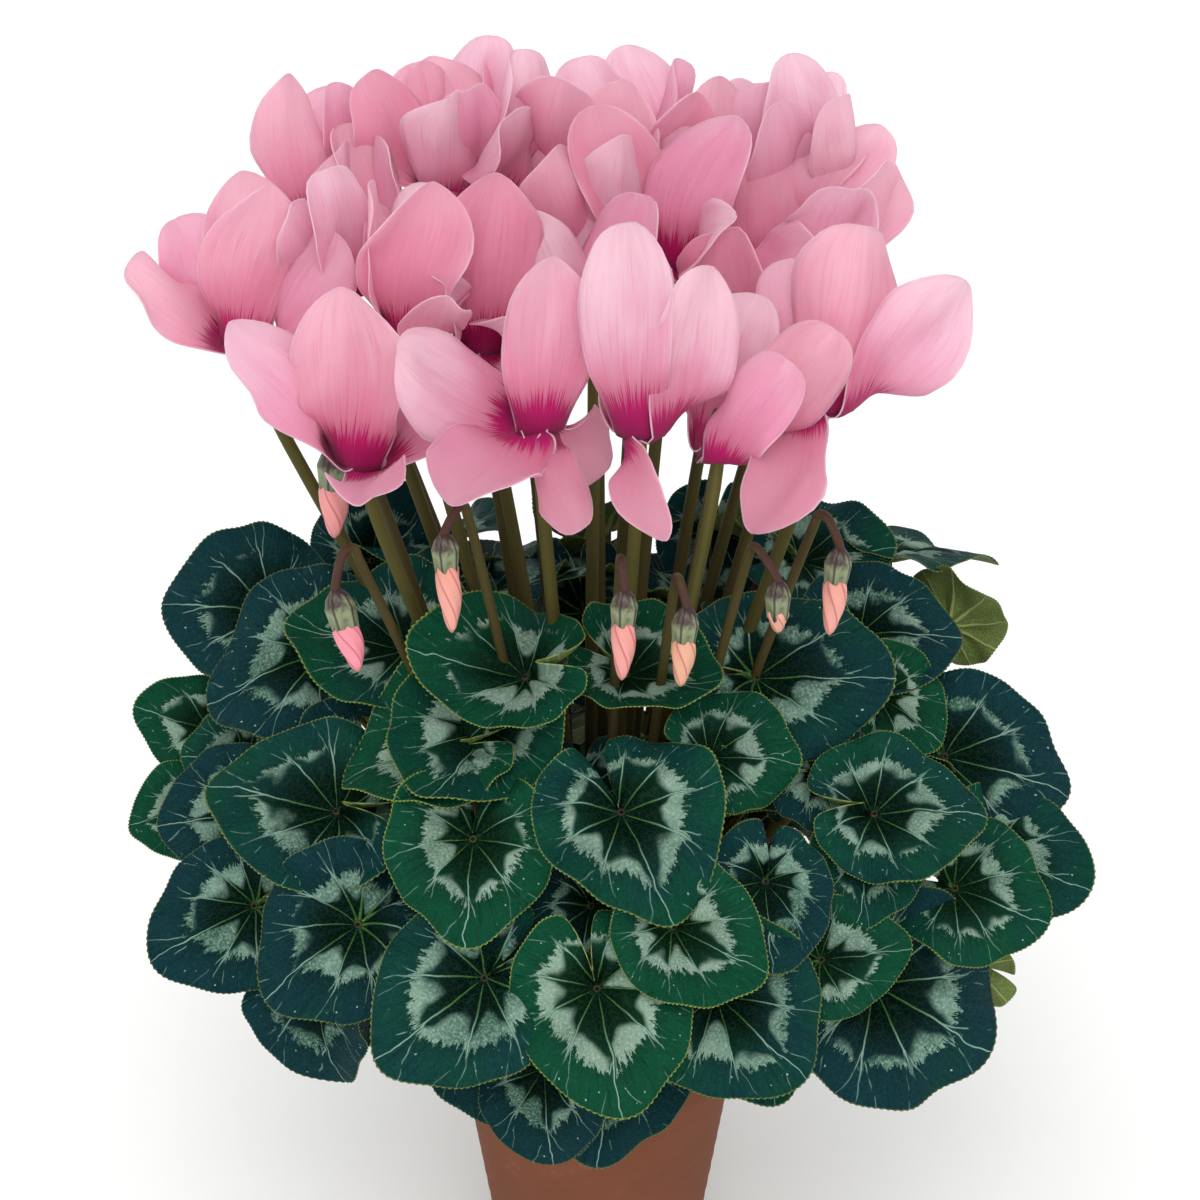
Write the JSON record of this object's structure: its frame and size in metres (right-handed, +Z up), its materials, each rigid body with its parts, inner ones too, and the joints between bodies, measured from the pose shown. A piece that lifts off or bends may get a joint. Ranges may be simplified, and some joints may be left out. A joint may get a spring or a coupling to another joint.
{
  "type": "potted cyclamen",
  "caption": "Flowering cyclamen in a round clay pot: a dome of silver-patterned heart-shaped leaves on long stalks, with nodding pink flowers and hooked buds held above it.",
  "frame": {"origin": "middle of the pot's foot, on the surface it stands on", "axes": "+Z up along the pot's axis; -Y is the front, +X is the right seen from the front"},
  "size_m": [0.3223, 0.2864, 0.465],
  "materials": {
    "terracotta": "matte unglazed clay",
    "soil": "crumbly peat",
    "corm": "corky",
    "leaf": "waxy soft sheen, silver band, beaded yellow-green margin",
    "petal": "satin, veined, deep magenta at the base",
    "bud": "satin, furled"
  },
  "bodies": {
    "root": {"pot": "terracotta", "potting_soil": "soil", "corm": "corm", "bud_01": "bud", "bud_02": "bud", "bud_03": "bud", "bud_04": "bud", "bud_05": "bud", "bud_06": "bud", "bud_07": "bud", "flower_01": "petal", "flower_02": "petal", "flower_03": "petal", "flower_04": "petal", "flower_05": "petal", "flower_06": "petal", "flower_07": "petal", "flower_08": "petal", "flower_09": "petal", "flower_10": "petal", "flower_11": "petal", "flower_12": "petal", "flower_13": "petal", "flower_14": "petal", "flower_15": "petal", "flower_16": "petal", "flower_17": "petal", "flower_18": "petal", "flower_19": "petal", "flower_20": "petal", "leaf_01": "leaf", "leaf_02": "leaf", "leaf_03": "leaf", "leaf_04": "leaf", "leaf_05": "leaf", "leaf_06": "leaf", "leaf_07": "leaf", "leaf_08": "leaf", "leaf_09": "leaf", "leaf_10": "leaf", "leaf_11": "leaf", "leaf_12": "leaf", "leaf_13": "leaf", "leaf_14": "leaf", "leaf_15": "leaf", "leaf_16": "leaf", "leaf_17": "leaf", "leaf_18": "leaf", "leaf_19": "leaf", "leaf_20": "leaf", "leaf_21": "leaf", "leaf_22": "leaf", "leaf_23": "leaf", "leaf_24": "leaf", "leaf_25": "leaf", "leaf_26": "leaf", "leaf_27": "leaf", "leaf_28": "leaf", "leaf_29": "leaf", "leaf_30": "leaf"}
  },
  "joints": []
}
